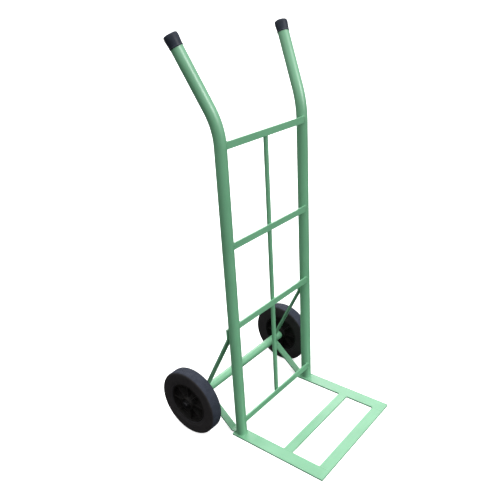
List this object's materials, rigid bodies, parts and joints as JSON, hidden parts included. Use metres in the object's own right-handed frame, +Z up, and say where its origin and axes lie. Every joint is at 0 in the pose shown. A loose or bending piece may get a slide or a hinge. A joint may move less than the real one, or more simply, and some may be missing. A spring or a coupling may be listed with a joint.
{
  "type": "hand truck",
  "caption": "Upright hand truck with bent tube rails, flat crossbars, an open toe plate, strap braces, rubber handle tips and solid rubber wheels.",
  "frame": {"origin": "on the floor at the middle of the truck's footprint: the middle of its width, and halfway between the toe plate's front edge and the back of the wheels", "axes": "+Z up along the side rails; -Y forward over the toe plate, +Y back towards the wheels; +X to the right-hand side of someone who stands in front of the toe plate and faces the truck"},
  "size_m": [0.522, 0.5306, 1.1238],
  "materials": {
    "frame_paint": "satin pastel green powder coat",
    "cap_rubber": "smooth black vinyl rubber",
    "tyre": "matt moulded solid rubber",
    "hub_plastic": "moulded black plastic",
    "bushing_steel": "turned steel",
    "axle_steel": "zinc plated",
    "push_cap_steel": "black oxide"
  },
  "bodies": {
    "frame": {"side_rail_left": "frame_paint", "side_rail_right": "frame_paint", "handle_cap_left": "cap_rubber", "handle_cap_right": "cap_rubber", "crossbar_top": "frame_paint", "crossbar_upper": "frame_paint", "crossbar_lower": "frame_paint", "crossbar_bottom": "frame_paint", "center_bar": "frame_paint", "toe_side_bar_left": "frame_paint", "toe_side_bar_right": "frame_paint", "toe_front_bar": "frame_paint", "toe_mid_bar": "frame_paint", "brace_upper_left": "frame_paint", "brace_upper_right": "frame_paint", "brace_lower_left": "frame_paint", "brace_lower_right": "frame_paint", "axle_tube": "frame_paint", "axle_rod": "axle_steel", "washer_inner_left": "push_cap_steel", "washer_inner_right": "push_cap_steel", "washer_outer_left": "push_cap_steel", "washer_outer_right": "push_cap_steel", "push_cap_left": "push_cap_steel", "push_cap_right": "push_cap_steel"},
    "wheel_left": {"wheel_tyre_left": "tyre", "wheel_hub_left": "hub_plastic", "hub_bushing_left": "bushing_steel"},
    "wheel_right": {"wheel_tyre_right": "tyre", "wheel_hub_right": "hub_plastic", "hub_bushing_right": "bushing_steel"}
  },
  "joints": [
    {"name": "wheel_left_spin", "type": "hinge", "parent": "frame", "child": "wheel_left", "pos_m": [-0.23, 0.1637, 0.1016], "axis": [1, 0, 0], "continuous": true},
    {"name": "wheel_right_spin", "type": "hinge", "parent": "frame", "child": "wheel_right", "pos_m": [0.23, 0.1637, 0.1016], "axis": [1, 0, 0], "continuous": true}
  ]
}
